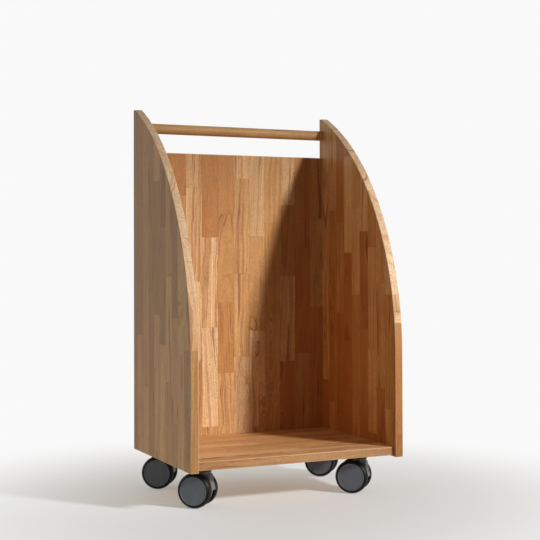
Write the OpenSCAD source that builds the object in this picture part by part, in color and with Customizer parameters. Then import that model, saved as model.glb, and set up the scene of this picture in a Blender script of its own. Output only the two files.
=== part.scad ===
// Firewood rack in solid beech on four twin-wheel castors.
// X runs across the rack, Y from its front to its back and Z up. The origin is on the floor,
// under the middle of the rack. All sizes are in millimetres and all angles in degrees.

/* [Rack] */
// Overall width over the side panels
rack_w = 510; // [440:5:640]
// Depth of the side panels, front to back
rack_d = 370; // [340:5:430]
// Height of the side panels, foot to top
side_h = 795; // [750:5:900]
// Thickness of the side panels
side_t = 19; // [18:0.5:27]
// Length of the flat top of a side panel
top_flat = 10; // [8:1:40]
// Rounding of a side panel's top rear corner
tip_r = 4.5; // [2:0.5:6]
// Rounding along the boards' free edges
edge_r = 2; // [0.5:0.5:3]
// Height above the foot where the front edge starts to curve back
curve_start = 232; // [180:2:280]

/* [Base shelf] */
// Thickness of the base shelf
shelf_t = 19; // [18:0.5:27]
// Step from the side panels' front edges back to the shelf's front edge
shelf_step = 9; // [2:1:20]
// Height of the shelf's underside above the side panels' feet
shelf_lift = 3.5; // [1:0.5:12]

/* [Back panel] */
// Thickness of the back panel
back_t = 16; // [15:0.5:22]
// Clear height for a hand between the back panel and the handle bar
hand_gap = 43.5; // [36:0.5:70]

/* [Handle bar] */
// Diameter of the handle bar
handle_d = 24; // [20:1:30]
// Distance of the bar's centre below the top of the side panels
handle_drop = 43; // [36:1:60]
// Distance of the bar's centre in front of the side panels' rear edges
handle_inset = 15; // [15:0.5:24]
// Depth of the blind holes that hold the bar's ends
handle_socket = 12; // [8:0.5:14]

/* [Dowels] */
// Diameter of the dowels
dowel_d = 8; // [6:0.5:9]
// How far a dowel goes into the face of a board
dowel_face = 12; // [8:0.5:14]
// How far a dowel goes into the end of a board
dowel_end = 20; // [14:1:24]
// Dowels between the shelf and each side panel
shelf_dowel_n = 4; // [3:1:6]
// Dowels between the back panel and each side panel
back_dowel_n = 6; // [4:1:8]
// Dowels between the back panel and the shelf
foot_dowel_n = 4; // [3:1:6]
// Distance of the outermost dowels from a joint's ends
dowel_margin = 32; // [28:1:50]
// Radial room for glue round a dowel or a bar end
glue_gap = 0.1; // [0.05:0.05:0.2]
// Room for glue at the bottom of a blind hole
glue_pocket = 0.8; // [0.5:0.1:1.5]

/* [Castor places] */
// Distance of a castor's swivel axis from the inner face of the side panel
castor_side_inset = 45.5; // [45.5:0.5:70]
// Distance of the front swivel axes behind the shelf's front edge
castor_front_inset = 66; // [45:1:90]
// Distance of the rear swivel axes in front of the shelf's rear edge
castor_rear_inset = 54; // [45:1:90]
// Turn of the front left castor, clockwise seen from above, with 0 facing +X
front_left_turn = 42; // [-180:1:180]
// Turn of the front right castor
front_right_turn = 41; // [-180:1:180]
// Turn of the rear left castor
rear_left_turn = 33; // [-180:1:180]
// Turn of the rear right castor
rear_right_turn = -141; // [-180:1:180]

/* [Castor plate and screws] */
// Side of the square mounting plate
plate_w = 54; // [50:1:64]
// Thickness of the mounting plate
plate_t = 2.5; // [2:0.5:4]
// Corner radius of the mounting plate
plate_r = 6; // [3:0.5:6]
// Distance between neighbouring screw holes
screw_pitch = 40; // [38:1:42]
// Diameter of the screw holes in the plate
screw_hole_d = 4.6; // [4.5:0.1:5.2]
// Diameter of a screw's shank
screw_d = 4; // [3.5:0.1:4.2]
// Length of a screw under its head
screw_l = 16; // [12:1:17]
// Diameter of a screw's pan head
screw_head_d = 7.6; // [7:0.1:8]
// Height of a screw's pan head
screw_head_h = 2.6; // [2:0.1:3]
// Bevel round the top of a screw's head
screw_crown = 1.2; // [0.8:0.1:1.6]
// Width of the cross recess in a screw's head
recess_w = 1; // [0.8:0.1:1.2]
// Depth of the cross recess
recess_depth = 1.4; // [1:0.1:1.6]

/* [Swivel] */
// Diameter of the kingpin
kingpin_d = 10; // [8:0.5:10]
// Diameter of the kingpin's shoulder under the plate
shoulder_d = 14; // [13:0.5:14]
// Thickness of the kingpin's shoulder
shoulder_t = 1.7; // [1.5:0.1:2.5]
// Diameter of the rivet neck that goes through the plate
rivet_d = 8; // [6:0.5:8]
// Diameter of the flush rivet head
rivet_head_d = 11.4; // [10:0.1:13]
// Outside diameter of the swivel bush
bush_d = 14; // [13.5:0.5:15]
// Diameter of the bush's flange
bush_flange_d = 18; // [17:0.5:20]
// Thickness of the bush's flange
bush_flange_t = 1.5; // [1:0.1:2]
// Length of the bush below its flange
bush_drop = 16.7; // [14:0.1:18]
// Depth of the socket in the castor's neck
socket_depth = 21; // [20.5:0.1:24]
// Outside diameter of the swivel collar
collar_d = 24.5; // [23:0.5:27]
// Height of the swivel collar
collar_h = 10.2; // [8.5:0.1:14]
// Thickness of the kingpin's retaining ring
ring_t = 1.2; // [1:0.1:1.5]
// Width of the retaining ring's metal
ring_w = 2.2; // [1.5:0.1:2.4]
// Opening of the retaining ring
ring_opening = 3; // [2:0.5:5]
// Depth of the groove that holds the ring
groove_depth = 1; // [0.6:0.1:1.2]

/* [Castor body] */
// Distance of the wheel axle behind the swivel axis
trail = 19; // [16:0.5:24]
// Width of the castor's body between the wheels
body_w = 22; // [21:0.5:24]
// Thickness of the web disc between the wheels
web_t = 4; // [3:0.5:6]
// How far the web disc's rim lies inside the tread
web_inset = 4.5; // [3:0.5:8]
// How far the hood's curve lies inside the tread
hood_inset = 1.5; // [1:0.5:3]
// Wall of the hood
hood_wall = 4.5; // [3:0.5:6]
// Height of the hood's shoulder below the top of the tread
hood_shoulder = 4.5; // [3:0.5:8]
// Diameter of the boss round the axle
boss_d = 18; // [14:1:22]
// Floor under the socket in the neck
socket_floor = 5; // [3:0.5:6]
// Height of the neck's top above the wheels
neck_rise = 2; // [1.5:0.5:5]

/* [Wheels] */
// Diameter of a wheel over its tread
wheel_d = 75; // [68:1:90]
// Width of one wheel
wheel_w = 18.5; // [17:0.5:22]
// Side gap between the castor's body and a wheel's inner face
wheel_side_gap = 0.5; // [0.4:0.1:1]
// Radial thickness of the tread, crown to seat
tread_t = 7.1; // [5:0.1:9]
// Width of the rounded outer shoulder of the tread
tread_shoulder = 10; // [7:0.5:11]
// Drop of the tread at its inner edge
tread_fall = 3; // [1:0.5:4]
// Set-in of the tread from the wheel's inner face
tread_inset = 0.3; // [0.2:0.1:1]
// Wall of the wheel's rim
rim_t = 3.2; // [2.5:0.1:5]
// Thickness of the wheel's disc
disc_t = 3; // [2:0.5:4]
// Set-in of the disc and the rim from the wheel's inner face
disc_inset = 0.8; // [0.5:0.1:2]
// Diameter of the wheel's hub
hub_d = 16; // [14:1:20]
// Length of the hub from the wheel's inner face
hub_l = 12.7; // [11:0.1:13]
// Ribs between hub and rim
rib_n = 6; // [4:1:10]
// Thickness of a rib
rib_t = 2; // [1.5:0.5:3]
// Diameter of the axle
axle_d = 8; // [6:0.5:9]
// Thickness of a push-on ring at the axle's end
axle_ring_t = 1; // [0.8:0.1:1.2]
// Outside diameter of a push-on ring
axle_ring_d = 13; // [12:0.5:14]
// Notches in a push-on ring
axle_ring_notches = 6; // [4:1:8]

/* [Hub caps] */
// Thickness of a hub cap
cap_t = 2; // [1.6:0.1:2.4]
// Width of the raised rim round a hub cap
cap_rim_w = 2.5; // [1.5:0.1:5]
// Height of the raised rim over the cap's face
cap_rim_h = 0.4; // [0.2:0.1:0.8]
// Depth of the snap skirt behind the cap
cap_skirt = 3; // [2:0.5:3.5]
// Wall of the snap skirt
cap_skirt_t = 1.4; // [1:0.1:2]

/* [Fits] */
// Radial running clearance of a pin in its bore
running_fit = 0.08; // [0.04:0.01:0.1]
// Radial clearance between parts that are pressed or snapped together
seat_fit = 0.05; // [0.02:0.01:0.1]
// End gap between a moving part and the one beside it
end_gap = 0.3; // [0.25:0.05:0.4]

/* [Hidden] */
$fn = 96;
eps = 0.01;
curve_fn = 360;

// Small sizes that are the same wherever they occur
past = 1; // how far a cut runs past the surface it starts from
wood_bevel = 1; // at the ends of the dowels and of the handle bar
pin_bevel = 0.6; // at the ends of the kingpins and axles
moulded_bevel = 0.6; // round the swivel collars
cap_bevel = 0.3; // round the edge of a hub cap
snap_lead = 0.5; // at the end of a hub cap's skirt
screw_point_r = 0.3;
plate_land = 0.5; // left under the rivet head in the mounting plate
groove_play = 0.1; // between a retaining ring and each side of its groove
pin_foot_gap = 1.2; // under the kingpin in its socket
axle_stub = 1.5; // of the axle beyond its push-on ring
notch_w = 1;
notch_depth = 1;
hood_lead = 0.4; // of the hood's tip over its curve
tread_edge_t = 0.8; // what is left of the tread at its outer edge
inner_steps = 7; // cones that make up the inner shoulder of a tread
outer_steps = 9; // cones that make up its outer shoulder

castor_names = ["front_left", "front_right", "rear_left", "rear_right"];
castor_turns = [front_left_turn, front_right_turn, rear_left_turn, rear_right_turn];
wheel_sides = [["left", 1], ["right", -1]];
castor_parts = ["castor_plate", "swivel_bush", "swivel_collar", "castor_body", "axle", "axle_rings",
                "wheel_left", "wheel_right", "tyre_left", "tyre_right", "cap_left", "cap_right"];
rack_parts = ["left_side", "right_side", "back_panel", "base_shelf", "handle_bar", "shelf_dowels",
              "back_dowels", "foot_dowels", "castor_screws", "kingpins", "kingpin_rings"];

// Heights of the castor, from the floor up
wheel_r = wheel_d / 2;
neck_top = wheel_d + neck_rise;
collar_top = neck_top + collar_h;
plate_z = collar_top + end_gap;
castor_h = plate_z + plate_t;
bush_top = plate_z - shoulder_t - end_gap;
bush_bottom = neck_top - bush_drop;
ring_top = bush_bottom - end_gap;
socket_z = neck_top - socket_depth;
neck_bottom = socket_z - socket_floor;

// Heights of the rack
shelf_z = castor_h;
shelf_top = shelf_z + shelf_t;
foot_z = shelf_z - shelf_lift;
side_top = foot_z + side_h;
handle_z = side_top - handle_drop;
back_top = handle_z - handle_d / 2 - hand_gap;

// Places across and along the rack
inner_w = rack_w - 2 * side_t;
front_y = -rack_d / 2;
rear_y = rack_d / 2;
shelf_front_y = front_y + shelf_step;
back_front_y = rear_y - back_t;
handle_y = rear_y - handle_inset;
castor_x = inner_w / 2 - castor_side_inset;
castor_front_y = shelf_front_y + castor_front_inset;
castor_rear_y = rear_y - castor_rear_inset;
castor_places = [[-castor_x, castor_front_y], [castor_x, castor_front_y],
                 [-castor_x, castor_rear_y], [castor_x, castor_rear_y]];

// The curved front edge is one arc, tangent to the straight edge below it
curve_run = rack_d - top_flat;
curve_rise = side_h - curve_start;
curve_r = (curve_run * curve_run + curve_rise * curve_rise) / (2 * curve_run);

// Wheel sizes: heights here run outward from a wheel's inner face
wheel_y = body_w / 2 + wheel_side_gap;
tread_seat_r = wheel_r - tread_t;
rim_out_r = tread_seat_r - seat_fit;
rim_in_r = rim_out_r - rim_t;
cap_r = tread_seat_r - 2 * seat_fit;
cap_back = wheel_w - cap_t;
rim_end = cap_back - seat_fit;
rib_top = cap_back - cap_skirt - 2 * end_gap;
hub_start = end_gap - wheel_side_gap;
axle_ring_start = hub_l + end_gap;
axle_end = axle_ring_start + axle_ring_t + axle_stub;

beech = [0.82, 0.60, 0.38];
beech_pale = [0.86, 0.67, 0.45];
moulded_grey = [0.30, 0.31, 0.33];
rubber_black = [0.05, 0.05, 0.055];
zinc = [0.72, 0.73, 0.75];
nylon = [0.88, 0.87, 0.82];

// n places spread evenly from a to b
function spread(a, b, n) = [for (i = [0:n - 1]) a + (b - a) * i / (n - 1)];

shelf_dowel_y = spread(shelf_front_y + dowel_margin, rear_y - dowel_margin, shelf_dowel_n);
back_dowel_z = spread(shelf_top + dowel_margin, back_top - dowel_margin, back_dowel_n);
foot_dowel_x = spread(-inner_w / 2 + 2 * dowel_margin, inner_w / 2 - 2 * dowel_margin, foot_dowel_n);
shelf_mid_z = shelf_z + shelf_t / 2;
back_mid_y = rear_y - back_t / 2;

// A tube along Z from z0 to z1
module tube(r_out, r_in, z0, z1) {
    difference() {
        translate([0, 0, z0]) cylinder(r = r_out, h = z1 - z0);
        translate([0, 0, z0 - past]) cylinder(r = r_in, h = z1 - z0 + 2 * past);
    }
}

// A rod along Z from z0 to z1 with bevelled ends
module bevelled_rod(r, z0, z1, bevel) {
    rotate_extrude()
        polygon([[0, z0], [r - bevel, z0], [r, z0 + bevel],
                 [r, z1 - bevel], [r - bevel, z1], [0, z1]]);
}

// Puts a shape drawn along Z onto the X axis of one side: 1 is right, -1 is left
module along_x(side) {
    rotate([0, 90 * side, 0]) children();
}

// What a rounding of radius r takes off the corner at the origin
module corner_bite(r) {
    difference() {
        translate([-past, -past]) square(r + past);
        translate([r, r]) circle(r = r);
    }
}

// A rectangle of a by b from the origin, whose corners are counted round from there.
// Those with a radius above 0 are rounded.
module board_section(a, b, radii) {
    corners = [[0, 0], [a, 0], [a, b], [0, b]];
    difference() {
        square([a, b]);
        for (k = [0:3])
            if (radii[k] > 0) translate(corners[k]) rotate(90 * k) corner_bite(radii[k]);
    }
}

// A board of length l along X, from a section drawn with its first side along Y
module board_along_x(l, a, b, radii) {
    rotate([90, 0, 90]) linear_extrude(height = l) board_section(a, b, radii);
}

// A dowel that stands on a joint plane, its end-grain part below and its face part above
module dowel() {
    bevelled_rod(dowel_d / 2, -dowel_end, dowel_face, wood_bevel);
}

// The two holes of that dowel
module dowel_hole() {
    translate([0, 0, -dowel_end - glue_pocket])
        cylinder(d = dowel_d + 2 * glue_gap, h = dowel_end + dowel_face + 2 * glue_pocket);
}

// Places its children on each shelf-to-side joint of one side
module at_shelf_joints(side) {
    for (y = shelf_dowel_y)
        translate([side * inner_w / 2, y, shelf_mid_z]) along_x(side) children();
}

// Places its children on each back-to-side joint of one side
module at_back_joints(side) {
    for (z = back_dowel_z)
        translate([side * inner_w / 2, back_mid_y, z]) along_x(side) children();
}

// Places its children on each back-to-shelf joint, with the shelf's face below
module at_foot_joints() {
    for (x = foot_dowel_x)
        translate([x, back_mid_y, shelf_top]) mirror([0, 0, 1]) children();
}

// The part of a side panel above the curve's start, where the front edge follows the arc
module curved_part() {
    intersection() {
        translate([0, -past, curve_start]) linear_extrude(height = curve_rise)
            board_section(side_t, rack_d + past, [0, 0, edge_r, edge_r]);
        translate([0, curve_r, curve_start]) rotate([0, 90, 0])
            rotate_extrude($fn = curve_fn)
                board_section(curve_r, side_t, [0, edge_r, edge_r, 0]);
    }
}

// A side panel standing on its foot, from x = 0 to its thickness. The first section rounds its
// front and rear edges, the next the foot's long edges and the flat top's, the last the ends.
module side_blank() {
    all_round = [edge_r, edge_r, edge_r, edge_r];
    intersection() {
        union() {
            linear_extrude(height = curve_start) board_section(side_t, rack_d, all_round);
            curved_part();
        }
        translate([0, rack_d + past, 0]) rotate([90, 0, 0])
            linear_extrude(height = rack_d + 2 * past) board_section(side_t, side_h, all_round);
        translate([-past, 0, 0])
            board_along_x(side_t + 2 * past, rack_d, side_h, [edge_r, edge_r, tip_r, 0]);
    }
}

// The blind hole for one end of the handle bar
module handle_hole(side) {
    translate([side * (inner_w / 2 - past), handle_y, handle_z]) along_x(side)
        cylinder(d = handle_d + 2 * glue_gap, h = handle_socket + glue_pocket + past);
}

module side_panel(side) {
    color(beech)
    difference() {
        translate([side > 0 ? inner_w / 2 : -rack_w / 2, front_y, foot_z]) side_blank();
        handle_hole(side);
        at_shelf_joints(side) dowel_hole();
        at_back_joints(side) dowel_hole();
    }
}

module back_panel() {
    color(beech)
    difference() {
        translate([-inner_w / 2, back_front_y, shelf_top])
            board_along_x(inner_w, back_t, back_top - shelf_top, [0, 0, edge_r, edge_r]);
        for (side = [-1, 1]) at_back_joints(side) dowel_hole();
        at_foot_joints() dowel_hole();
    }
}

module base_shelf() {
    color(beech)
    difference() {
        translate([-inner_w / 2, shelf_front_y, shelf_z])
            board_along_x(inner_w, rear_y - shelf_front_y, shelf_t, [edge_r, edge_r, 0, edge_r]);
        for (side = [-1, 1]) at_shelf_joints(side) dowel_hole();
        at_foot_joints() dowel_hole();
        at_screws() translate([0, 0, -past])
            cylinder(d = screw_d + 2 * seat_fit, h = screw_l - plate_t + past + glue_pocket);
    }
}

module handle_bar() {
    reach = inner_w / 2 + handle_socket;
    color(beech_pale)
    translate([0, handle_y, handle_z]) along_x(1)
        bevelled_rod(handle_d / 2, -reach, reach, wood_bevel);
}

module shelf_dowels() {
    color(beech_pale)
    for (side = [-1, 1]) at_shelf_joints(side) dowel();
}

module back_dowels() {
    color(beech_pale)
    for (side = [-1, 1]) at_back_joints(side) dowel();
}

module foot_dowels() {
    color(beech_pale)
    at_foot_joints() dowel();
}

// Places its children on castor i, turned as that castor is
module at_castor(i) {
    translate([castor_places[i].x, castor_places[i].y, 0]) rotate([0, 0, -castor_turns[i]]) children();
}

// Places its children on the plate's four screw holes, at the plate's top
module at_plate_holes() {
    for (x = [-1, 1]) for (y = [-1, 1])
        translate([x * screw_pitch / 2, y * screw_pitch / 2, castor_h]) children();
}

// Places its children on all the screws. The plates stay square to the shelf.
module at_screws() {
    for (place = castor_places) translate([place.x, place.y, 0]) at_plate_holes() children();
}

module castor_plate(i) {
    inner = plate_w - 2 * plate_r;
    color(zinc)
    translate([castor_places[i].x, castor_places[i].y, 0])
    difference() {
        translate([0, 0, plate_z])
            union() {
                translate([-plate_w / 2, -inner / 2, 0]) cube([plate_w, inner, plate_t]);
                translate([-inner / 2, -plate_w / 2, 0]) cube([inner, plate_w, plate_t]);
                for (x = [-1, 1]) for (y = [-1, 1])
                    translate([x * inner / 2, y * inner / 2, 0]) cylinder(r = plate_r, h = plate_t);
            }
        translate([0, 0, plate_z - past]) cylinder(d = rivet_d + 2 * seat_fit, h = plate_t + 2 * past);
        translate([0, 0, castor_h - rivet_head_t()])
            cylinder(d1 = rivet_d + 2 * seat_fit, d2 = rivet_head_d + 2 * seat_fit, h = rivet_head_t());
        translate([0, 0, castor_h - eps])
            cylinder(d = rivet_head_d + 2 * seat_fit, h = past);
        at_plate_holes() translate([0, 0, -plate_t - past])
            cylinder(d = screw_hole_d, h = plate_t + 2 * past);
    }
}

// Height of the rivet head, a cone of 90 degrees
function rivet_head_t() = min((rivet_head_d - rivet_d) / 2, plate_t - plate_land);

// A pan-head wood screw, its head's underside on the plate, driven up along Z
module screw() {
    head_r = screw_head_d / 2;
    shank_r = screw_d / 2;
    tip = screw_d;
    translate([0, 0, -plate_t])
    difference() {
        rotate_extrude()
            polygon([[0, -screw_head_h], [head_r - screw_crown, -screw_head_h],
                     [head_r, screw_crown - screw_head_h], [head_r, 0], [shank_r, 0],
                     [shank_r, screw_l - tip], [screw_point_r, screw_l], [0, screw_l]]);
        for (turn = [0, 90])
            rotate(turn) translate([-shank_r, -recess_w / 2, -screw_head_h - past])
                cube([screw_d, recess_w, recess_depth + past]);
    }
}

module castor_screws() {
    color(zinc)
    at_screws() screw();
}

// The kingpin: rivet head, neck through the plate, shoulder, shaft with a groove near its end
module kingpin() {
    r = kingpin_d / 2;
    groove_r = r - groove_depth;
    groove_top = ring_top + groove_play;
    groove_low = ring_top - ring_t - groove_play;
    head_z = castor_h - rivet_head_t();
    pin_end = socket_z + pin_foot_gap;
    rotate_extrude()
        polygon([[0, pin_end], [r - pin_bevel, pin_end], [r, pin_end + pin_bevel], [r, groove_low],
                 [groove_r, groove_low], [groove_r, groove_top], [r, groove_top],
                 [r, plate_z - shoulder_t], [shoulder_d / 2, plate_z - shoulder_t],
                 [shoulder_d / 2, plate_z], [rivet_d / 2, plate_z], [rivet_d / 2, head_z],
                 [rivet_head_d / 2, castor_h], [0, castor_h]]);
}

module kingpins() {
    color(zinc)
    for (place = castor_places) translate([place.x, place.y, 0]) kingpin();
}

// A spring ring with an opening, in the kingpin's groove
module kingpin_rings() {
    inner = kingpin_d / 2 - groove_depth + seat_fit;
    color(zinc)
    for (place = castor_places) translate([place.x, place.y, 0])
        difference() {
            tube(inner + ring_w, inner, ring_top - ring_t, ring_top);
            translate([0, -ring_opening / 2, ring_top - ring_t - past])
                cube([inner + ring_w + past, ring_opening, ring_t + 2 * past]);
        }
}

module swivel_bush() {
    bore = kingpin_d / 2 + running_fit;
    outer = bush_d / 2;
    flange = bush_flange_d / 2;
    color(nylon)
    rotate_extrude()
        polygon([[bore, bush_bottom], [outer, bush_bottom], [outer, neck_top], [flange, neck_top],
                 [flange, neck_top + bush_flange_t], [outer, neck_top + bush_flange_t],
                 [outer, bush_top], [bore, bush_top]]);
}

// A ring that closes the swivel between the neck and the plate
module swivel_collar() {
    outer = collar_d / 2;
    bore = bush_d / 2 + seat_fit;
    mouth = shoulder_d / 2 + end_gap + 2 * seat_fit;
    recess = bush_flange_d / 2 + seat_fit;
    recess_top = neck_top + bush_flange_t + seat_fit;
    mouth_z = plate_z - shoulder_t - 2 * end_gap;
    bevel = moulded_bevel;
    color(moulded_grey)
    rotate_extrude()
        polygon([[recess, neck_top], [outer - bevel, neck_top], [outer, neck_top + bevel],
                 [outer, collar_top - bevel], [outer - bevel, collar_top], [mouth, collar_top],
                 [mouth, mouth_z], [bore, mouth_z], [bore, recess_top], [recess, recess_top]]);
}

// Moves to the wheel axle, with Z still up
module at_axle() {
    translate([-trail, 0, wheel_r]) children();
}

// A disc or shaft of radius r and width w, centred on the axle's line
module on_axle(r, w) {
    at_axle() rotate([90, 0, 0]) cylinder(r = r, h = w, center = true);
}

// The hood's outer form over the upper front quarter of the wheels
module hood_form() {
    hood_r = wheel_r - hood_inset;
    shoulder_z = wheel_r - hood_shoulder;
    neck_front = trail + body_w / 2;
    tip_x = hood_r + hood_lead;
    at_axle() {
        intersection() {
            rotate([90, 0, 0]) cylinder(r = hood_r, h = body_w, center = true);
            translate([0, -body_w / 2 - past, 0])
                cube([hood_r + past, body_w + 2 * past, hood_r + past]);
        }
        rotate([90, 0, 0]) linear_extrude(height = body_w, center = true)
            polygon([[0, 0], [tip_x, 0], [neck_front, shoulder_z], [trail - body_w / 2, shoulder_z]]);
    }
}

module castor_body() {
    color(moulded_grey)
    difference() {
        union() {
            difference() {
                hood_form();
                on_axle(wheel_r - hood_inset - hood_wall, body_w + 2 * past);
            }
            on_axle(wheel_r - web_inset, web_t);
            on_axle(boss_d / 2, body_w);
            translate([0, 0, neck_bottom]) cylinder(d = body_w, h = neck_top - neck_bottom);
        }
        translate([0, 0, socket_z]) cylinder(d = bush_d + 2 * seat_fit, h = socket_depth + past);
        on_axle(axle_d / 2 + seat_fit, body_w + 2 * past);
    }
}

module axle() {
    reach = wheel_y + axle_end;
    color(zinc)
    at_axle() rotate([90, 0, 0]) bevelled_rod(axle_d / 2, -reach, reach, pin_bevel);
}

// Moves to one wheel's inner face, with Z pointing outward along the axle
module at_wheel(side) {
    at_axle() translate([0, side * wheel_y, 0]) rotate([-90 * side, 0, 0]) children();
}

module axle_ring() {
    inner = axle_d / 2 + seat_fit;
    difference() {
        tube(axle_ring_d / 2, inner, axle_ring_start, axle_ring_start + axle_ring_t);
        for (i = [0:axle_ring_notches - 1])
            rotate(i * 360 / axle_ring_notches)
                translate([inner - past, -notch_w / 2, axle_ring_start - past])
                    cube([notch_depth + past, notch_w, axle_ring_t + 2 * past]);
    }
}

module axle_rings() {
    color(zinc)
    for (s = wheel_sides) at_wheel(s[1]) axle_ring();
}

module wheel(side) {
    bore = axle_d / 2 + running_fit;
    color(moulded_grey)
    at_wheel(side) {
        difference() {
            union() {
                translate([0, 0, hub_start]) cylinder(d = hub_d, h = hub_l - hub_start);
                translate([0, 0, disc_inset]) cylinder(r = rim_out_r, h = disc_t);
                tube(rim_out_r, rim_in_r, disc_inset, rim_end);
                for (i = [0:rib_n - 1])
                    rotate(i * 360 / rib_n)
                        translate([hub_d / 2 - past, -rib_t / 2, disc_inset + disc_t / 2])
                            cube([rim_in_r - hub_d / 2 + 2 * past, rib_t, rib_top - disc_inset - disc_t / 2]);
            }
            translate([0, 0, hub_start - past]) cylinder(r = bore, h = wheel_w);
        }
    }
}

// Radius of the tread at height z: an elliptical shoulder each side of its crown
function tread_r(z) =
    let (crown_z = wheel_w - tread_shoulder)
    let (outer_fall = tread_t - tread_edge_t)
    z > crown_z
        ? wheel_r - outer_fall * (1 - sqrt(max(0, 1 - pow((z - crown_z) / tread_shoulder, 2))))
        : wheel_r - tread_fall * (1 - sqrt(max(0, 1 - pow((crown_z - z) / (crown_z - tread_inset), 2))));

// Places between a and b that crowd towards b, where the shoulder turns fastest
function crowd(a, b, n) = [for (i = [1:n]) a + (b - a) * sin(90 * i / n)];

module tyre(side) {
    crown_z = wheel_w - tread_shoulder;
    inward = crowd(crown_z, tread_inset, inner_steps);
    outward = crowd(crown_z, wheel_w, outer_steps);
    heights = concat([for (i = [inner_steps - 1:-1:0]) inward[i]], [crown_z], outward);
    color(rubber_black)
    at_wheel(side)
        rotate_extrude()
            polygon(concat([[tread_seat_r, wheel_w], [tread_seat_r, tread_inset]],
                           [for (z = heights) [tread_r(z), z]]));
}

module cap(side) {
    skirt_out = rim_in_r - 4 * seat_fit;
    skirt_in = skirt_out - cap_skirt_t;
    skirt_end = cap_back - cap_skirt;
    face = wheel_w - cap_rim_h;
    rim_in = cap_r - cap_rim_w;
    color(moulded_grey)
    at_wheel(side)
        rotate_extrude()
            polygon([[0, cap_back], [skirt_in, cap_back], [skirt_in, skirt_end],
                     [skirt_out - snap_lead, skirt_end], [skirt_out, skirt_end + snap_lead],
                     [skirt_out, cap_back], [cap_r, cap_back], [cap_r, wheel_w - cap_bevel],
                     [cap_r - cap_bevel, wheel_w], [rim_in + cap_rim_h, wheel_w], [rim_in, face],
                     [0, face]]);
}

side_panel(-1);  // left_side
side_panel(1);  // right_side
back_panel();
base_shelf();
handle_bar();
shelf_dowels();
back_dowels();
foot_dowels();
castor_screws();
kingpins();
kingpin_rings();

for (i = [0:3]) {
    name = castor_names[i];
    castor_plate(i);
    at_castor(i) swivel_bush();
    at_castor(i) swivel_collar();
    at_castor(i) castor_body();
    at_castor(i) axle();
    at_castor(i) axle_rings();
    for (s = wheel_sides) {
        at_castor(i) wheel(s[1]);
        at_castor(i) tyre(s[1]);
        at_castor(i) cap(s[1]);
    }
}
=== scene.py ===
import math

import bpy
from mathutils import Matrix, Vector


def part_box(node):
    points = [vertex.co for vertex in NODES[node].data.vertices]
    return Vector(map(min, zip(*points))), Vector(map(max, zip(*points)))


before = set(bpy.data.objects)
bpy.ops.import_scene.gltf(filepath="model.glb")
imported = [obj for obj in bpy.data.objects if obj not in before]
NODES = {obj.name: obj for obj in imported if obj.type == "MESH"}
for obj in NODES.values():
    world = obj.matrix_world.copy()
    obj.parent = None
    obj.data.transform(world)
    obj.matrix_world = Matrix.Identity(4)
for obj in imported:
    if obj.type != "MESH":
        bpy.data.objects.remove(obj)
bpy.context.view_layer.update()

MM = 0.001
CORNERS = ("front_left", "front_right", "rear_left", "rear_right")
SIDES = ("left", "right")

# The camera stands in front of the rack and to its left, a little over half its height
IMAGE_PX = 540
FOCAL_PX = 1203.276
SENSOR_MM = 36.0
PRINCIPAL_ROW_PX = 240.0
CAMERA_AT = Vector((-1.1494, -2.5177, 0.5381))
YAW = math.radians(24.778)
RISE = math.radians(0.755)
ROLL = math.radians(-0.166)


def make_camera():
    ahead = Vector((math.sin(YAW), math.cos(YAW), 0))
    side = Vector((math.cos(YAW), -math.sin(YAW), 0))
    up = Vector((0, 0, 1))
    aim = ahead * math.cos(RISE) + up * math.sin(RISE)
    head = up * math.cos(RISE) - ahead * math.sin(RISE)
    right = side * math.cos(ROLL) + head * math.sin(ROLL)
    top = head * math.cos(ROLL) - side * math.sin(ROLL)
    data = bpy.data.cameras.new("camera")
    data.sensor_width = SENSOR_MM
    data.lens = FOCAL_PX * SENSOR_MM / IMAGE_PX
    data.shift_y = (PRINCIPAL_ROW_PX - IMAGE_PX / 2) / IMAGE_PX
    camera = bpy.data.objects.new("camera", data)
    bpy.context.scene.collection.objects.link(camera)
    turn = Matrix((right, top, -aim)).transposed()
    camera.matrix_world = Matrix.Translation(CAMERA_AT) @ turn.to_4x4()
    bpy.context.scene.camera = camera


make_camera()
bpy.context.scene.view_settings.view_transform = "Standard"


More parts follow.
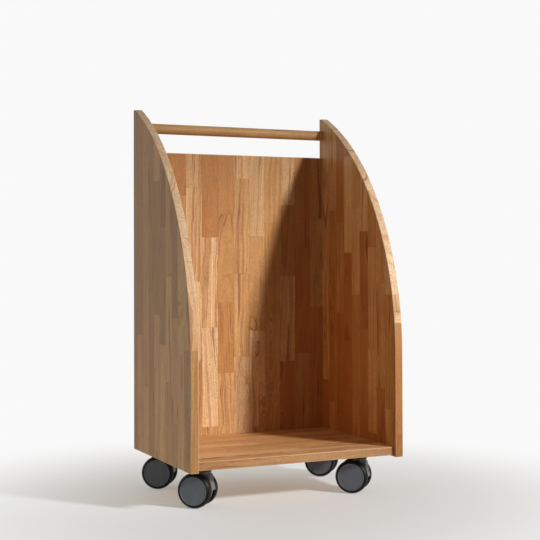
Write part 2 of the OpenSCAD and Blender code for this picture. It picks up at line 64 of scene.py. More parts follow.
class Graph:
    """Makes shader nodes. A value is a number, a tuple or another node's output."""

    def __init__(self, tree):
        self.tree = tree

    def add(self, kind, inputs=(), **settings):
        node = self.tree.nodes.new(kind)
        for key, value in settings.items():
            setattr(node, key, value)
        for key, value in dict(inputs).items():
            self.feed(node.inputs[key], value)
        return node

    def feed(self, socket, value):
        if isinstance(value, bpy.types.NodeSocket):
            self.tree.links.new(value, socket)
        else:
            socket.default_value = value

    def math(self, operation, *values, clamp=False):
        settings = {"operation": operation, "use_clamp": clamp}
        return self.add("ShaderNodeMath", enumerate(values), **settings).outputs[0]

    def plus(self, a, b):
        return self.math("ADD", a, b)

    def minus(self, a, b):
        return self.math("SUBTRACT", a, b)

    def times(self, a, b):
        return self.math("MULTIPLY", a, b)

    def size(self, value):
        return self.math("ABSOLUTE", value)

    def vector(self, x, y, z):
        return self.add("ShaderNodeCombineXYZ", {"X": x, "Y": y, "Z": z}).outputs[0]

    def split(self, vector):
        return self.add("ShaderNodeSeparateXYZ", {"Vector": vector}).outputs

    def vmath(self, operation, *values, output=0):
        node = self.add("ShaderNodeVectorMath", enumerate(values), operation=operation)
        return node.outputs[output]

    def scaled(self, vector, factor):
        inputs = {0: vector, "Scale": factor}
        return self.add("ShaderNodeVectorMath", inputs, operation="SCALE").outputs[0]

    def coords(self, kind):
        return self.add("ShaderNodeTexCoord").outputs[kind]

    def noise(self, coords, scale=1.0, detail=2.0, roughness=0.5):
        inputs = {"Vector": coords, "Scale": scale, "Detail": detail, "Roughness": roughness}
        return self.add("ShaderNodeTexNoise", inputs).outputs["Fac"]

    def white(self, coords):
        inputs = {"Vector": coords}
        return self.add("ShaderNodeTexWhiteNoise", inputs, noise_dimensions="3D").outputs["Color"]

    def cells(self, coords, output="Distance"):
        return self.add("ShaderNodeTexVoronoi", {"Vector": coords, "Scale": 1.0}).outputs[output]

    def smooth(self, value, low, high, start=0.0, end=1.0):
        """start where value is low, end where it is high, and a soft change between."""
        inputs = {"Value": value, "From Min": low, "From Max": high, "To Min": start, "To Max": end}
        return self.add("ShaderNodeMapRange", inputs, interpolation_type="SMOOTHSTEP").outputs[0]

    def mix(self, factor, a, b, blend="MIX"):
        inputs = {0: factor, 6: a, 7: b}
        return self.add("ShaderNodeMix", inputs, data_type="RGBA", blend_type=blend).outputs[2]

    def shaded(self, factor, colour, tint):
        return self.mix(factor, colour, tint, "MULTIPLY")

    def ramp(self, factor, stops):
        node = self.add("ShaderNodeValToRGB", {"Fac": factor})
        elements = node.color_ramp.elements
        while len(elements) < len(stops):
            elements.new(0.5)
        for element, (place, colour) in zip(elements, stops):
            element.position = place
            element.color = colour
        return node.outputs["Color"]

    def bump(self, height, distance):
        inputs = {"Height": height, "Distance": distance}
        return self.add("ShaderNodeBump", inputs).outputs["Normal"]


def srgb(red, green, blue):
    """A colour written as 0 to 255, as the render shows it, turned into the linear one."""
    def linear(value):
        share = value / 255
        return share / 12.92 if share <= 0.04045 else ((share + 0.055) / 1.055) ** 2.4
    return (linear(red), linear(green), linear(blue), 1.0)


def new_material(name):
    material = bpy.data.materials.new(name)
    material.use_nodes = True
    material.node_tree.nodes.clear()
    return material, Graph(material.node_tree)


def finish_material(g, colour, rough, normal, **uniform):
    inputs = {"Base Color": colour, "Roughness": rough, "Normal": normal, **uniform}
    shader = g.add("ShaderNodeBsdfPrincipled", inputs)
    output = g.add("ShaderNodeOutputMaterial")
    g.feed(output.inputs["Surface"], shader.outputs[0])


def object_mm(g):
    return g.scaled(g.coords("Object"), 1 / MM)


# Solid beech. All lengths in these textures are in millimetres.
AMBER = srgb(198, 144, 88)
RUSSET = srgb(180, 112, 58)
BROWN = srgb(142, 84, 44)
ROSE = srgb(187, 136, 86)
# Cream of sanded end grain and arrises, made whiter than the wood to paint the lamp's highlight on
# the edges
SANDED_END_AND_HIGHLIGHT = srgb(231, 205, 172)
BOARD_TONES = [
    (0.00, srgb(228, 191, 147)),
    (0.25, srgb(218, 176, 126)),
    (0.55, srgb(207, 160, 105)),
    (0.80, srgb(197, 146, 88)),
    (1.00, srgb(183, 123, 67)),
]
LIGHTER = (1.24, 1.26, 1.29, 1.0)
FIBRE_SHADES = [(0.25, (0.88, 0.86, 0.84, 1)), (0.75, (1.07, 1.08, 1.09, 1))]
GRAIN_SHADES = [(0.32, (0.85, 0.81, 0.77, 1)), (0.68, (1.17, 1.19, 1.21, 1))]
CLOUD_SHADES = [(0.30, (0.93, 0.91, 0.89, 1)), (0.70, (1.05, 1.05, 1.05, 1))]

# How a piece lies in its tree: the distance from the heart, nearest and how much further it can
# be, how far the grain leans, and how far apart two pieces can be along the trunk
HEART_NEAREST = 12.0
HEART_FURTHER = 66.0
LEAN = 0.12
TRUNK = 900.0

# Growth rings: the least width and how much wider they can be, how far they sway, and how sharply
# the late wood ends a ring
RING_LEAST = 2.4
RING_WIDER = 3.2
RING_SWAY = 15.0
LATE_POWER = 3.0

# Heartwood: the core's radius as a share of the piece's distance from the heart, and its sway. A
# tapering streak shows where its swell is over a level, and has a least and a further width and a
# place beside the piece's middle that varies
CORE_SHARE = 0.90
CORE_SWAY = 6.0
SWELL_OVER = 0.44
TAPER_LEAST = 6.0
TAPER_WIDER = 14.0
TAPER_ASIDE = 7.0
TAPER_VARIES = 16.0

# How far each pattern reaches along the grain and across it
SWAY_MM = (110, 44)
FIBRE_MM = (38, 0.8)
STREAK_MM = (260, 4.0)
CLOUD_MM = (90, 26)
GRAIN_MM = (8.5, 3.0)
FLECK_MM = (6.5, 2.0)
FLAKE_MM = (9.0, 4.2)
PORE_MM = (3, 0.55)
BAND_MM = 5.0
BAND_LONG_MM = 600
SWELL_MM = 110

# From which value to which a pattern begins to show and shows fully and, where two more numbers
# follow, how strong it is at each
BAND_DARK = (0.50, 0.70, 0.0, 0.52)
BAND_LIGHT = (0.48, 0.28, 0.0, 0.70)
THREAD = (0.020, 0.004)
STREAK_DARK = (0.50, 0.70, 0.0, 0.38)
STREAK_LIGHT = (0.50, 0.30, 0.0, 0.32)
HAS_CORE = (0.82, 0.86)
CORE_EDGE = (-1.0, 2.0)
CORE_RIM = (5.0, 1.0)
HAS_TAPER = (0.64, 0.60)
TAPER_EDGE = (-0.3, 0.7)
FLECK = (0.26, 0.16)
FLAKE = (0.36, 0.16)
HAS_FLAKES = (0.25, 0.60)
CUTS_ACROSS = (0.05, 0.50)
ARRIS_INNER = (0.10, 0.40)
ARRIS_OUTER = (0.99, 0.90)
PORE = (0.35, 0.1)
GLUE_MM = (0.5, 0.1)
IS_ROSY = (0.50, 1.00)

# How strongly the other layers colour the wood
FIGURE_LEAST = 0.5
FIGURE_VARIES = 0.9
# The paleness of end grain and of arrises is partly sanding and partly a painted highlight
END_PALE_AND_HIGHLIGHT = 0.75
ARRIS_PALE_AND_HIGHLIGHT = 0.5
LATE_DARK = 0.32
THREAD_AT = 0.57
THREAD_DARK = 0.50
GRAIN_SHOWS = 0.5
CORE_DARK = 0.42
CORE_RIM_DARK = 0.55
TAPER_DARK = 0.75
FLECK_DARK = 0.60
FLAKE_DARK = 0.34
PORE_DARK = 0.2
GLUE_DARK = 0.42
ROSY = 0.30
DARKEN = 0.28
DARKEN_SPARES_ENDS = 0.8

# Surface: how high and deep the layers are, as shares of the bump, how rough, and the varnish
FIBRE_HIGH = 0.6
LATE_DEEP = 0.5
FLECK_DEEP = 0.5
GLUE_DEEP = 1.6
WOOD_BUMP = 0.00012
WOOD_ROUGH = 0.40
FIBRE_ROUGH = 0.16
WOOD_IOR = 1.45
WOOD_SPECULAR = 0.28

# Pieces of a stave: how far the next stave's are shifted, how unequal their lengths are, and the
# numbers that draw four sets of chances from a piece's own colour
STAVE_SHIFT = 13.71
BUTTS_VARY = 0.6
DRAWS = (37.0, 91.0, 67.0, 53.0)


def stretched(g, place, size):
    """Texture coordinates for a pattern of the size (along, across) in the grain."""
    run, a, t = place
    along, across = size
    return g.vector(g.times(run, 1 / along), g.times(a, 1 / across), g.times(t, 1 / across))


def from_heart(g, where, chance, more):
    """Place of a point from the heart of its tree, the piece's distance from it, and its shift."""
    along, across, through, rel = where
    angle = g.times(chance[0], math.tau)
    reach = g.plus(g.times(chance[1], HEART_FURTHER), HEART_NEAREST)
    lean_a = g.times(g.minus(chance[2], 0.5), LEAN)
    lean_t = g.times(g.minus(more[0], 0.5), LEAN)
    shift = g.times(more[1], TRUNK)
    a = g.minus(across, g.times(reach, g.math("COSINE", angle)))
    t = g.minus(through, g.times(reach, g.math("SINE", angle)))
    a = g.minus(a, g.times(lean_a, rel))
    t = g.minus(t, g.times(lean_t, rel))
    return (g.plus(along, shift), a, t), reach, shift


def heartwood(g, colour, run, radius, reach, shift, sway, luck):
    """Red heartwood in some pieces: a core with a dark rim, or long streaks that taper out."""
    heart_r = g.plus(g.times(reach, CORE_SHARE), g.times(sway, CORE_SWAY))
    depth = g.minus(heart_r, radius)
    core = g.times(g.smooth(luck[0], *HAS_CORE), g.smooth(depth, *CORE_EDGE))
    rim = g.times(core, g.smooth(depth, *CORE_RIM))
    colour = g.mix(g.times(core, CORE_DARK), colour, RUSSET)
    colour = g.mix(g.times(rim, CORE_RIM_DARK), colour, BROWN)
    swell = g.noise(g.vector(g.times(run, 1 / SWELL_MM), shift, 0.0), detail=1.0)
    half = g.plus(g.times(luck[1], TAPER_WIDER), TAPER_LEAST)
    half = g.times(g.minus(swell, SWELL_OVER), half)
    aside = g.plus(g.times(g.minus(luck[1], 0.5), TAPER_VARIES), TAPER_ASIDE)
    middle_r = g.plus(reach, aside)
    inside = g.minus(half, g.size(g.minus(radius, middle_r)))
    taper = g.times(g.smooth(luck[0], *HAS_TAPER), g.smooth(inside, *TAPER_EDGE))
    return g.mix(g.times(taper, TAPER_DARK), colour, BROWN)


def beech(g, where, own, tone, blush, end, crisp):
    """Colour, roughness and height of a piece of beech as solid wood.

    where is the place along the grain, across and through the piece, and along it from its middle.
    own is three times three numbers from 0 to 1 that are the piece's own. tone picks its colour and
    blush says how rosy it is. end is 1 where the surface cuts straight across the grain, and crisp
    is the strength of the fine figure.
    """
    chance, more, luck = own
    place, reach, shift = from_heart(g, where, chance, more)
    run, a, t = place
    sway = g.noise(stretched(g, place, SWAY_MM), detail=2.5)
    root = g.math("SQRT", g.plus(g.times(a, a), g.times(t, t)))
    radius = g.plus(root, g.times(sway, RING_SWAY))
    pitch = g.plus(g.times(more[2], RING_WIDER), RING_LEAST)
    ring = g.math("FRACT", g.math("DIVIDE", radius, pitch))
    late = g.math("POWER", ring, LATE_POWER)
    band_at = g.vector(g.times(radius, 1 / BAND_MM), g.times(run, 1 / BAND_LONG_MM), shift)
    band = g.noise(band_at, detail=3.0, roughness=0.65)
    fibre = g.noise(stretched(g, place, FIBRE_MM), detail=3.0, roughness=0.62)
    streak = g.noise(stretched(g, place, STREAK_MM), detail=3.0, roughness=0.6)
    grain = g.noise(stretched(g, place, GRAIN_MM), detail=3.0, roughness=0.7)
    cloud = g.noise(stretched(g, place, CLOUD_MM), detail=2.0)
    colour = g.mix(blush, g.ramp(tone, BOARD_TONES), ROSE)
    # Paler end grain: partly sanding, partly a painted highlight
    colour = g.mix(g.times(end, END_PALE_AND_HIGHLIGHT), colour, SANDED_END_AND_HIGHLIGHT)
    # Growth rings, bands and thin lines that follow them, streaks and the slow drift of tone
    figure = g.times(g.plus(g.times(luck[2], FIGURE_VARIES), FIGURE_LEAST), crisp)
    colour = g.mix(g.times(late, LATE_DARK), colour, RUSSET)
    colour = g.mix(g.times(g.smooth(band, *BAND_DARK), figure), colour, RUSSET)
    colour = g.shaded(g.times(g.smooth(band, *BAND_LIGHT), figure), colour, LIGHTER)
    thread = g.smooth(g.size(g.minus(band, THREAD_AT)), *THREAD)
    colour = g.mix(g.times(g.times(thread, figure), THREAD_DARK), colour, BROWN)
    colour = g.mix(g.smooth(streak, *STREAK_DARK), colour, AMBER)
    colour = g.shaded(g.smooth(streak, *STREAK_LIGHT), colour, LIGHTER)
    colour = g.shaded(1.0, colour, g.ramp(fibre, FIBRE_SHADES))
    colour = g.shaded(1.0, colour, g.ramp(cloud, CLOUD_SHADES))
    colour = g.shaded(GRAIN_SHOWS * crisp, colour, g.ramp(grain, GRAIN_SHADES))
    colour = heartwood(g, colour, run, radius, reach, shift, sway, luck)
    # Ray flecks, fine everywhere and broader in some pieces
    fleck = g.smooth(g.cells(stretched(g, place, FLECK_MM)), *FLECK)
    colour = g.mix(g.times(fleck, FLECK_DARK), colour, BROWN)
    flake = g.smooth(g.cells(stretched(g, place, FLAKE_MM)), *FLAKE)
    flake = g.times(flake, g.smooth(more[2], *HAS_FLAKES))
    colour = g.mix(g.times(flake, FLAKE_DARK), colour, RUSSET)
    height = g.plus(g.times(fibre, FIBRE_HIGH), g.times(late, -LATE_DEEP))
    height = g.minus(height, g.times(fleck, FLECK_DEEP))
    rough = g.plus(g.times(fibre, FIBRE_ROUGH), WOOD_ROUGH)
    return colour, rough, height


def beech_finish(g, colour, rough, height):
    normal = g.bump(height, WOOD_BUMP)
    uniform = {"IOR": WOOD_IOR, "Specular IOR Level": WOOD_SPECULAR}
    finish_material(g, colour, rough, normal, **uniform)


def in_grain(g, axes):
    """The coordinates whose letters are in axes: along the grain, across the board and through."""
    place = g.split(object_mm(g))
    return (place["XYZ".index(axis)] for axis in axes)


def beech_board(name, centre, axes, width, edge, length, darker, spread, redder, crisp, seed):
    """A board of edge-glued staves, each of pieces that are butted end to end."""
    material, g = new_material(name)
    along, across, through = in_grain(g, axes)
    through = g.minus(through, centre)
    row = g.math("DIVIDE", g.minus(across, edge), width)
    number = g.math("FLOOR", row)
    within = g.minus(row, number)
    from_middle = g.times(g.minus(within, 0.5), width)
    walk = g.plus(g.times(along, 1 / length), g.plus(g.times(number, STAVE_SHIFT), seed))
    line = {"W": walk, "Scale": 1.0, "Randomness": BUTTS_VARY}
    kind = "ShaderNodeTexVoronoi"
    piece = g.add(kind, line, voronoi_dimensions="1D").outputs
    ends = g.add(kind, line, voronoi_dimensions="1D", feature="DISTANCE_TO_EDGE").outputs
    rel = g.times(g.minus(walk, piece["W"]), length)
    draws = [g.split(g.white(g.scaled(piece["Color"], k))) for k in DRAWS]
    own, other = draws[:3], draws[3]
    # End grain and arrises are paler, from sanding and a painted highlight; end grain is full of
    # pores
    normal = g.split(g.coords("Normal"))
    end = g.smooth(g.size(normal["XYZ".index(axes[0])]), *CUTS_ACROSS)
    facing = g.size(normal["XYZ".index(axes[2])])
    arris = g.times(g.smooth(facing, *ARRIS_INNER), g.smooth(facing, *ARRIS_OUTER))
    tone = g.math("MULTIPLY_ADD", other[0], spread, darker - (spread - 1) / 2, clamp=True)
    hue = g.math("MULTIPLY_ADD", tone, redder, (1 - redder) / 2)
    blush = g.smooth(other[1], *IS_ROSY, 0.0, ROSY * redder)
    where = (along, from_middle, through, rel)
    colour, rough, height = beech(g, where, own, hue, blush, end, crisp)
    pores = g.smooth(g.cells(stretched(g, (along, across, through), PORE_MM)), *PORE)
    colour = g.mix(g.times(g.times(end, pores), PORE_DARK), colour, BROWN)
    darken = DARKEN * (1 - redder)
    shade = g.smooth(tone, 0.0, 1.0, 1 + darken, 1 - darken)
    shows = g.minus(1.0, g.times(end, DARKEN_SPARES_ENDS))
    colour = g.shaded(shows, colour, g.vector(shade, shade, shade))
    # Paler arrises: partly sanding, partly a painted highlight
    colour = g.mix(g.times(arris, ARRIS_PALE_AND_HIGHLIGHT), colour, SANDED_END_AND_HIGHLIGHT)
    # Glue lines between the staves and at the butt joints
    to_edge = g.times(g.math("MINIMUM", within, g.minus(1.0, within)), width)
    to_end = g.times(ends["Distance"], length)
    glue = g.smooth(g.math("MINIMUM", to_edge, to_end), *GLUE_MM)
    colour = g.mix(g.times(glue, GLUE_DARK), colour, BROWN)
    height = g.minus(height, g.times(glue, GLUE_DEEP))
    beech_finish(g, colour, rough, height)
    return material


# The handle bar and the dowels: the numbers that are a rod's own, its tone and its fine figure
ROD_CHANCE = (0.12, 0.55, 0.42)
ROD_MORE = (0.55, 0.35)
ROD_LUCK = (0.60, 0.50, 0.0)
ROD_TONE = 0.45
ROD_CRISP = 0.7


def beech_rod(name, axes, centre, offset):
    """Plain beech for the handle bar and the dowels: one straight piece each."""
    material, g = new_material(name)
    along, across, through = in_grain(g, axes)
    where = (along, g.minus(across, centre[0]), g.minus(through, centre[1]), along)
    own = (ROD_CHANCE, (ROD_MORE[0], offset, ROD_MORE[1]), ROD_LUCK)
    colour, rough, height = beech(g, where, own, ROD_TONE, 0.0, 0.0, ROD_CRISP)
    beech_finish(g, colour, rough, height)
    return material


# Plastics and rubber, as linear colours
CAP_GREY = (0.116, 0.134, 0.166)
# The rim's lighter grey is a painted highlight
CAP_RIM_HIGHLIGHT_GREY = (0.170, 0.178, 0.188, 1.0)
CAP_RIM_MM = 2.5
CASTOR_GREY = (0.170, 0.170, 0.175)
COLLAR_GREY = (0.045, 0.047, 0.050)
CORE_GREY = (0.035, 0.036, 0.038)
TREAD_BLACK = (0.0040, 0.0042, 0.0050)
TREAD_WORN = (0.020, 0.020, 0.020, 1.0)
BUSH_NYLON = (0.66, 0.64, 0.58)

# How far their colour drifts, where dust shows, and how dust changes colour and roughness
MOTTLE = 0.12
MOTTLE_MM = 22
DUST_MM = 5
DUST = (0.58, 0.78, 0.0, 0.5)
DUST_TIMES = 1.8
DUST_ADDS = 0.012
DUST_ROUGH = 0.14
MOULDED_BUMP = 0.00004
TREAD_BUMP = 0.00002
TREAD_SPECULAR = 0.20
PLASTIC_SPECULAR = 0.5

# Roughness, how much of it the grain makes, and the grain's size
CAP_FEEL = (0.44, 0.10, 0.5)
TREAD_FEEL = (0.36, 0.05, 0.35)
SMOOTH_FEEL = (0.45, 0.10, 0.6)
CORE_FEEL = (0.5, 0.10, 0.6)
NYLON_FEEL = (0.5, 0.10, 0.5)

# The cap's rim: its soft edge, the painted shade line inside it, and how strongly the rim's painted
# highlight and that line show
RIM_SOFT_MM = 0.4
GROOVE_SHADE_SOFT_MM = 0.3
GROOVE_SHADE_WIDE_MM = 0.8
RIM_HIGHLIGHT_SHOWS = 0.7
GROOVE_SHADE_SHOWS = 0.6
RIM_SMOOTHER = 0.10

# The worn band of a tread: where it starts and is full, how it shows, and how much rougher it is
WORN_MM = (1.6, 0.2)
WORN_SHOWS = 0.5
WORN_ROUGHER = 0.22


def moulded_look(g, colour, roughness, grain, grain_mm):
    """Colour, roughness and height of moulded plastic or rubber with a fine spark-eroded grain."""
    place = object_mm(g)
    fine = g.noise(place, 1 / grain_mm, detail=3.0, roughness=0.6)
    broad = g.noise(place, 1 / MOTTLE_MM, detail=3.0, roughness=0.6)
    dust = g.noise(place, 1 / DUST_MM, detail=4.0, roughness=0.65)
    light = tuple(min(1.0, c * (1 + MOTTLE)) for c in colour) + (1.0,)
    dark = tuple(c * (1 - MOTTLE) for c in colour) + (1.0,)
    dusty = tuple(min(1.0, DUST_TIMES * c + DUST_ADDS) for c in colour) + (1.0,)
    shade = g.ramp(broad, [(0.3, dark), (0.7, light)])
    shade = g.mix(g.smooth(dust, *DUST), shade, dusty)
    rough = g.plus(g.times(dust, DUST_ROUGH), roughness - DUST_ROUGH / 2)
    rough = g.plus(rough, g.times(fine, grain))
    return shade, rough, fine


def moulded_finish(g, shade, rough, fine, lift=MOULDED_BUMP, specular=PLASTIC_SPECULAR):
    finish_material(g, shade, rough, g.bump(fine, lift), **{"Specular IOR Level": specular})


def moulded(name, colour, feel):
    material, g = new_material(name)
    moulded_finish(g, *moulded_look(g, colour, *feel))
    return material


def box_middle(node):
    low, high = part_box(node)
    return (Vector(low) + Vector(high)) / 2


def half_height(node):
    """Half the height in millimetres, which is the radius of a wheel that stands upright."""
    low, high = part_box(node)
    return (high[2] - low[2]) / 2 / MM


def from_axle(g, corner):
    """Distance in millimetres from the line through the middles of a castor's two hub caps."""
    left = box_middle(corner + "_cap_left")
    right = box_middle(corner + "_cap_right")
    centre = (left + right) / 2 / MM
    axis = (left - right).normalized()
    offset = g.vmath("SUBTRACT", object_mm(g), tuple(centre))
    return g.vmath("LENGTH", g.vmath("CROSS_PRODUCT", offset, tuple(axis)), output="Value")


def hub_cap(corner):
    """Satin grey with a smoother raised rim painted slightly lighter as a highlight, and a painted
    shade line inside it.
    """
    material, g = new_material("cap_grey_" + corner)
    shade, rough, fine = moulded_look(g, CAP_GREY, *CAP_FEEL)
    inward = g.minus(half_height(corner + "_cap_left"), from_axle(g, corner))
    # Painted highlight on the smoother rim
    rim = g.smooth(inward, CAP_RIM_MM, CAP_RIM_MM - RIM_SOFT_MM)
    # Painted shade: a dark line at the rim's inner foot
    line = g.smooth(inward, CAP_RIM_MM - GROOVE_SHADE_SOFT_MM, CAP_RIM_MM)
    line = g.times(line, g.smooth(inward, CAP_RIM_MM + GROOVE_SHADE_WIDE_MM, CAP_RIM_MM))
    shade = g.mix(g.times(rim, RIM_HIGHLIGHT_SHOWS), shade, CAP_RIM_HIGHLIGHT_GREY)
    shade = g.mix(g.times(line, GROOVE_SHADE_SHOWS), shade, COLLAR_GREY + (1.0,))
    rough = g.minus(rough, g.times(rim, RIM_SMOOTHER))
    moulded_finish(g, shade, rough, fine)
    return material


def tread(corner):
    """Black rubber, polished at the shoulders and dulled where it runs on the floor."""
    material, g = new_material("tread_black_" + corner)
    shade, rough, fine = moulded_look(g, TREAD_BLACK, *TREAD_FEEL)
    inward = g.minus(half_height(corner + "_tyre_left"), from_axle(g, corner))
    worn = g.smooth(inward, *WORN_MM)
    shade = g.mix(g.times(worn, WORN_SHOWS), shade, TREAD_WORN)
    rough = g.plus(rough, g.times(worn, WORN_ROUGHER))
    moulded_finish(g, shade, rough, fine, TREAD_BUMP, TREAD_SPECULAR)
    return material


ZINC_SHADES = [(0.3, srgb(176, 178, 182)), (0.7, srgb(208, 210, 214))]
SPANGLE_MM = 2.5
ZINC_CLOUD_MM = 9
SCRATCHES_PER_MM = (0.15, 4.0, 4.0)
ZINC_BUMP = 0.00002
ZINC_ROUGH = 0.26
SPANGLE_ROUGH = 0.08
SCRATCH_ROUGH = 0.14


def zinc(name):
    """Zinc-plated steel with a slight spangle and fine scratches."""
    material, g = new_material(name)
    place = object_mm(g)
    spangle = g.cells(g.scaled(place, 1 / SPANGLE_MM), output="Color")
    cloud = g.noise(place, 1 / ZINC_CLOUD_MM, detail=3.0)
    scratch = g.noise(g.vmath("MULTIPLY", place, SCRATCHES_PER_MM), detail=3.0)
    shade = g.ramp(cloud, ZINC_SHADES)
    rough = g.plus(g.times(g.split(spangle)[0], SPANGLE_ROUGH), ZINC_ROUGH)
    rough = g.plus(rough, g.times(scratch, SCRATCH_ROUGH))
    finish_material(g, shade, rough, g.bump(scratch, ZINC_BUMP), Metallic=1.0)
    return material


def dress(node, material):
    piece = NODES[node]
    piece.data.materials.clear()
    piece.data.materials.append(material)


def middle(node, axis):
    low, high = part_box(node)
    return (low["XYZ".index(axis)] + high["XYZ".index(axis)]) / 2 / MM


# Boards. axes: the letters of the axes along the grain, across the board and through it. width: of
# a stave. edge: where a stave edge lies across the board. length: mean length of a piece. darker:
# how much darker than average its tones are. spread: how far they differ. redder: how far dark
# pieces are redder (1) rather than only darker (0). crisp: strength of the fine figure. seed: its
# pattern
BOARDS = {
    "left_side": {
        "axes": "ZYX", "width": 38.0, "edge": 155.0, "length": 250.0,
        "darker": 0.0, "spread": 1.0, "redder": 0.5, "crisp": 0.7, "seed": 3.0,
    },
    "right_side": {
        "axes": "ZYX", "width": 39.0, "edge": 95.0, "length": 240.0,
        "darker": 0.08, "spread": 1.2, "redder": 0.9, "crisp": 0.9, "seed": 19.0,
    },
    "back_panel": {
        "axes": "ZXY", "width": 41.3, "edge": -6.4, "length": 230.0,
        "darker": -0.10, "spread": 1.4, "redder": 1.0, "crisp": 1.2, "seed": 15.6,
    },
    "base_shelf": {
        "axes": "XYZ", "width": 41.0, "edge": -176.0, "length": 260.0,
        "darker": -0.30, "spread": 0.8, "redder": 0.8, "crisp": 0.9, "seed": 16.0,
    },
}
for node, board in BOARDS.items():
    dress(node, beech_board("beech_" + node, middle(node, board["axes"][2]), **board))

# Rods: the name of the wood, the letters of the axes along, across and through, the middle across
# and through, and the place along the trunk
BAR_MIDDLE = (middle("handle_bar", "Y"), middle("handle_bar", "Z"))
RODS = {
    "handle_bar": ("beech_bar", "XYZ", BAR_MIDDLE, 0.31),
    "shelf_dowels": ("beech_shelf_dowels", "XYZ", (0.0, 0.0), 0.62),
    "back_dowels": ("beech_back_dowels", "XYZ", (0.0, 0.0), 0.74),
    "foot_dowels": ("beech_foot_dowels", "ZXY", (0.0, 0.0), 0.83),
}
for node, rod in RODS.items():
    dress(node, beech_rod(*rod))

castor_grey = moulded("castor_grey", CASTOR_GREY, SMOOTH_FEEL)
collar_grey = moulded("collar_grey", COLLAR_GREY, SMOOTH_FEEL)
core_grey = moulded("wheel_core_grey", CORE_GREY, CORE_FEEL)
nylon = moulded("bush_nylon", BUSH_NYLON, NYLON_FEEL)
steel = zinc("zinc_steel")

for node in ("castor_screws", "kingpins", "kingpin_rings"):
    dress(node, steel)
for corner in CORNERS:
    cap_grey = hub_cap(corner)
    tread_black = tread(corner)
    for part in ("castor_plate", "axle", "axle_rings"):
        dress(corner + "_" + part, steel)
    dress(corner + "_swivel_bush", nylon)
    dress(corner + "_swivel_collar", collar_grey)
    dress(corner + "_castor_body", castor_grey)
    for side in SIDES:
        dress(corner + "_wheel_" + side, core_grey)
        dress(corner + "_tyre_" + side, tread_black)
        dress(corner + "_cap_" + side, cap_grey)

# The stage: a pale floor that fades into the pale background, one low key lamp from the front
# right, and a world that is bright behind the rack on its left and a little bright above. The
# world's two lines hold the range of a direction and the levels at its two ends
BACKDROP = srgb(249, 249, 249)
FLOOR_SEEN = (0.72, 0.79, 0.87, 1.0)
FLOOR_GIVES = (0.80, 0.79, 0.78, 1.0)
FLOOR_GLOW = (1.0, 0.87, 0.75, 1.0)
FLOOR_GLOW_LEVEL = 0.23
FLOOR_THROWS = 0.12
FLOOR_MIDDLE = (-0.05, -0.08, 0.0)
FLOOR_HALF = 9.0
FLOOR_FADE = (0.0, 1.0)
KEY_TOWARDS = Vector((-0.511, 0.757, -0.407))
KEY_AIM = Vector((-0.09, 0.05, 0.34))
KEY_AWAY = 5.0
KEY_RADIUS = 0.286
KEY_HALF_ANGLE = math.radians(9.0)
KEY_LEVEL = 1.14
KEY_COLOUR = (1.0, 0.985, 0.96)
WORLD_COLOUR = (1.0, 0.965, 0.81, 1.0)
WORLD_BRIGHT_SIDE = Vector((-0.66, 0.74, -0.05)).normalized()
WORLD_BRIGHT = (-0.15, 0.90, 0.02, 0.55)
WORLD_ABOVE = (0.1, 1.0, 0.0, 0.05)


def seen(g):
    """1 for rays from the camera, from a mirror-like surface or through glass."""
    path = g.add("ShaderNodeLightPath").outputs
    direct = g.math("MAXIMUM", path["Is Camera Ray"], path["Is Glossy Ray"])
    return g.math("MAXIMUM", direct, path["Is Transmission Ray"])


def blend_shaders(g, factor, first, second):
    inputs = {0: factor, 1: first.outputs[0], 2: second.outputs[0]}
    return g.add("ShaderNodeMixShader", inputs).outputs[0]


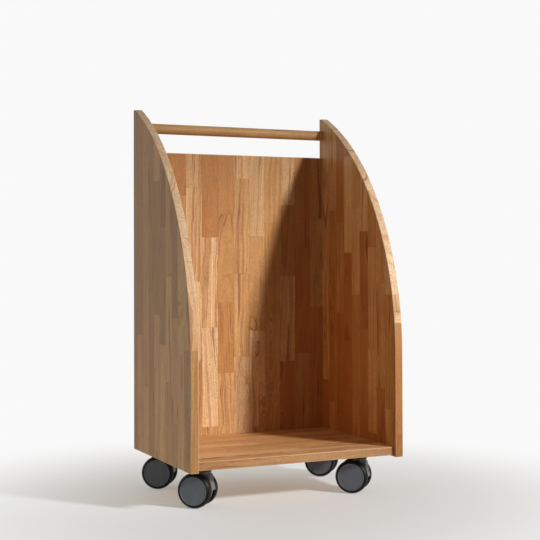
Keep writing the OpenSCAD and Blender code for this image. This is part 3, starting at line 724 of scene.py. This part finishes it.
def make_floor():
    mesh = bpy.data.meshes.new("floor")
    h = FLOOR_HALF
    mesh.from_pydata([(-h, -h, 0), (h, -h, 0), (h, h, 0), (-h, h, 0)], [], [(0, 1, 2, 3)])
    floor = bpy.data.objects.new("floor", mesh)
    bpy.context.scene.collection.objects.link(floor)
    material, g = new_material("pale_floor")
    away = g.vmath("DISTANCE", g.coords("Object"), FLOOR_MIDDLE, output="Value")
    fade = g.smooth(away, *FLOOR_FADE)
    looked_at = seen(g)
    matt = g.add("ShaderNodeBsdfDiffuse", {"Color": g.mix(looked_at, FLOOR_GIVES, FLOOR_SEEN)})
    thrown = g.times(g.minus(1.0, fade), FLOOR_THROWS)
    level = g.add("ShaderNodeMix", {0: looked_at, 2: thrown, 3: FLOOR_GLOW_LEVEL}).outputs[0]
    glow = g.add("ShaderNodeEmission", {"Color": FLOOR_GLOW, "Strength": level})
    near = g.add("ShaderNodeAddShader", {0: matt.outputs[0], 1: glow.outputs[0]})
    far = g.add("ShaderNodeEmission", {"Color": BACKDROP, "Strength": 1.0})
    output = g.add("ShaderNodeOutputMaterial")
    both = blend_shaders(g, g.times(fade, looked_at), near, far)
    g.feed(output.inputs["Surface"], both)
    mesh.materials.append(material)


def make_key():
    data = bpy.data.lights.new("key", "SPOT")
    data.spot_size = 2 * KEY_HALF_ANGLE
    data.spot_blend = 1.0
    data.shadow_soft_size = KEY_RADIUS
    data.color = KEY_COLOUR
    # This power lights a surface that faces the lamp at KEY_LEVEL
    data.energy = KEY_LEVEL * 4 * math.pi ** 2 * KEY_AWAY ** 2
    key = bpy.data.objects.new("key", data)
    bpy.context.scene.collection.objects.link(key)
    key.location = KEY_AIM - KEY_TOWARDS.normalized() * KEY_AWAY
    key.rotation_mode = "QUATERNION"
    key.rotation_quaternion = KEY_TOWARDS.to_track_quat("-Z", "Y")


def make_world():
    world = bpy.data.worlds.new("studio")
    bpy.context.scene.world = world
    world.use_nodes = True
    world.node_tree.nodes.clear()
    g = Graph(world.node_tree)
    direction = g.coords("Generated")
    facing = g.vmath("DOT_PRODUCT", direction, tuple(WORLD_BRIGHT_SIDE), output="Value")
    level = g.smooth(facing, *WORLD_BRIGHT)
    level = g.plus(level, g.smooth(g.split(direction)[2], *WORLD_ABOVE))
    lit = g.add("ShaderNodeBackground", {"Color": WORLD_COLOUR, "Strength": level})
    shown = g.add("ShaderNodeBackground", {"Color": BACKDROP, "Strength": 1.0})
    output = g.add("ShaderNodeOutputWorld")
    g.feed(output.inputs["Surface"], blend_shaders(g, seen(g), lit, shown))


make_floor()
make_key()
make_world()
